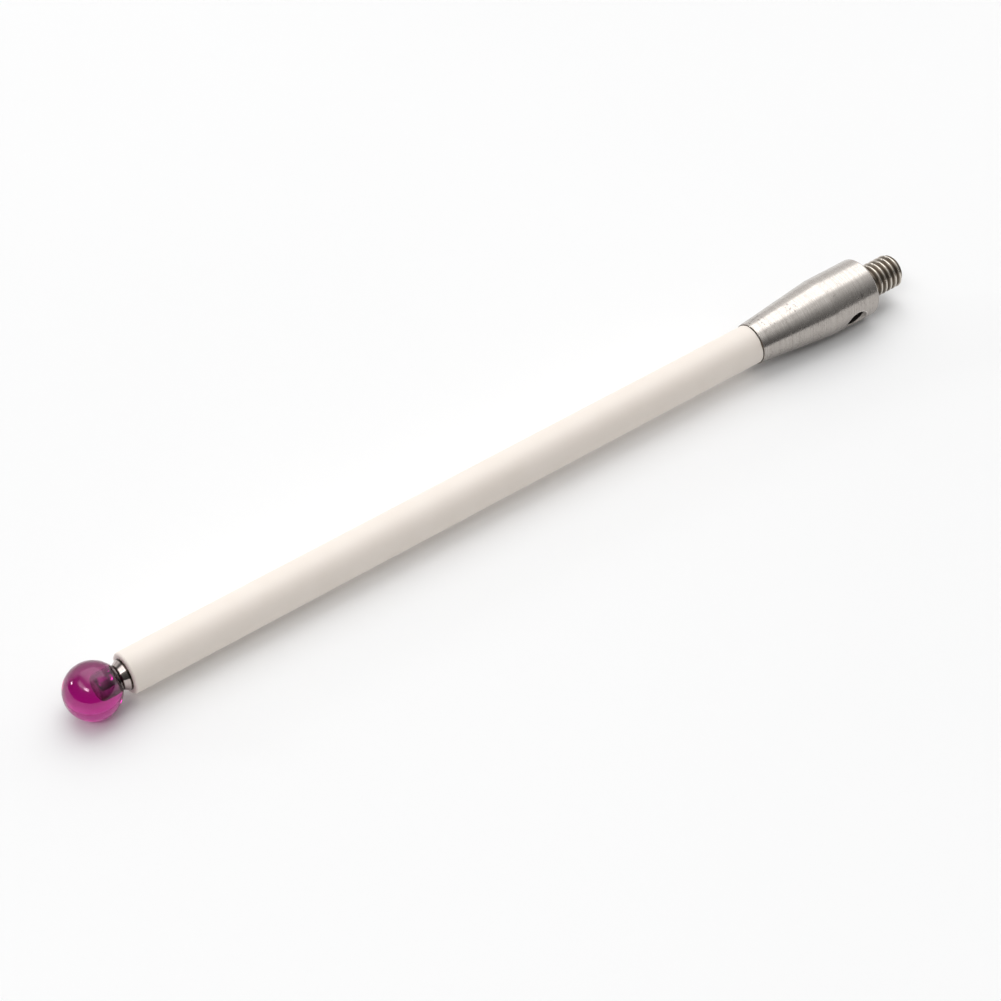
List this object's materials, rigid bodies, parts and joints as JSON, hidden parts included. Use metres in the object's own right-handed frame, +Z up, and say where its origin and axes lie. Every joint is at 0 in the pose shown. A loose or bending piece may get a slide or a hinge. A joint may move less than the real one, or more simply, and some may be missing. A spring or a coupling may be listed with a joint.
{
  "type": "cmm stylus",
  "caption": "Touch-probe stylus: a ruby ball on a white ceramic stem, bonded into a tapered steel base with a cross hole and a threaded mounting stud.",
  "frame": {"origin": "root of the stud on the stylus axis, in the plane of the base's seating face", "axes": "+X along the stylus axis from the ball towards the threaded stud, +Z up as the stylus lies on a table, -Y on the side of the cross hole's near mouth"},
  "size_m": [0.1079, 0.0068, 0.0068],
  "materials": {
    "ruby": "polished",
    "holder_steel": "satin",
    "alumina": "satin",
    "adhesive": "satin",
    "base_steel": "satin"
  },
  "bodies": {
    "root": {"ruby_ball": "ruby", "ball_holder": "holder_steel", "ceramic_stem": "alumina", "stem_adhesive": "adhesive", "threaded_base": "base_steel"}
  },
  "joints": []
}
